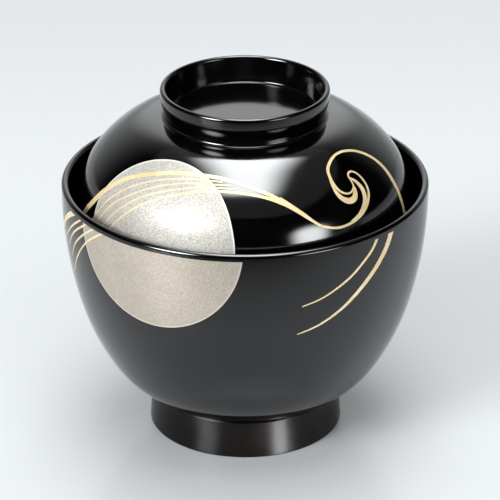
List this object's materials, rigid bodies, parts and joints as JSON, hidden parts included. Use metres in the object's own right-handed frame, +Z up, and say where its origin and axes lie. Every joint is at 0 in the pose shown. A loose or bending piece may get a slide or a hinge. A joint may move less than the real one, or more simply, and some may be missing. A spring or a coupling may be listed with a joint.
{
  "type": "lidded rice bowl",
  "caption": "Black lacquered wooden bowl with a foot ring and a domed drop-in lid with a grip ring, decorated with a silver moon and golden waves.",
  "frame": {"origin": "middle of the foot ring's resting face, on the bowl's axis", "axes": "+Z up along the bowl's axis of revolution, -Y towards the front, where the moon is left of the middle, +X to the viewer's right"},
  "size_m": [0.121, 0.1211, 0.12],
  "materials": {
    "black_lacquer": "mirror-polished black lacquer on wood",
    "gold_maki_e": "raised pale gold powder, satin",
    "silver_maki_e": "fine silver powder, satin with sparkle"
  },
  "bodies": {
    "bowl": {"bowl_body": "black_lacquer", "foot_ring": "black_lacquer", "bowl_moon": "silver_maki_e", "bowl_left_ripples": "gold_maki_e", "bowl_right_ripples": "gold_maki_e"},
    "lid": {"lid_shell": "black_lacquer", "lid_grip_ring": "black_lacquer", "lid_moon": "silver_maki_e", "lid_stream_lines": "gold_maki_e", "lid_wave_crest": "gold_maki_e"}
  },
  "joints": [
    {"name": "lid_lift", "type": "slide", "parent": "bowl", "child": "lid", "axis": [0, 0, 1], "range_m": [0, 0.06]}
  ]
}
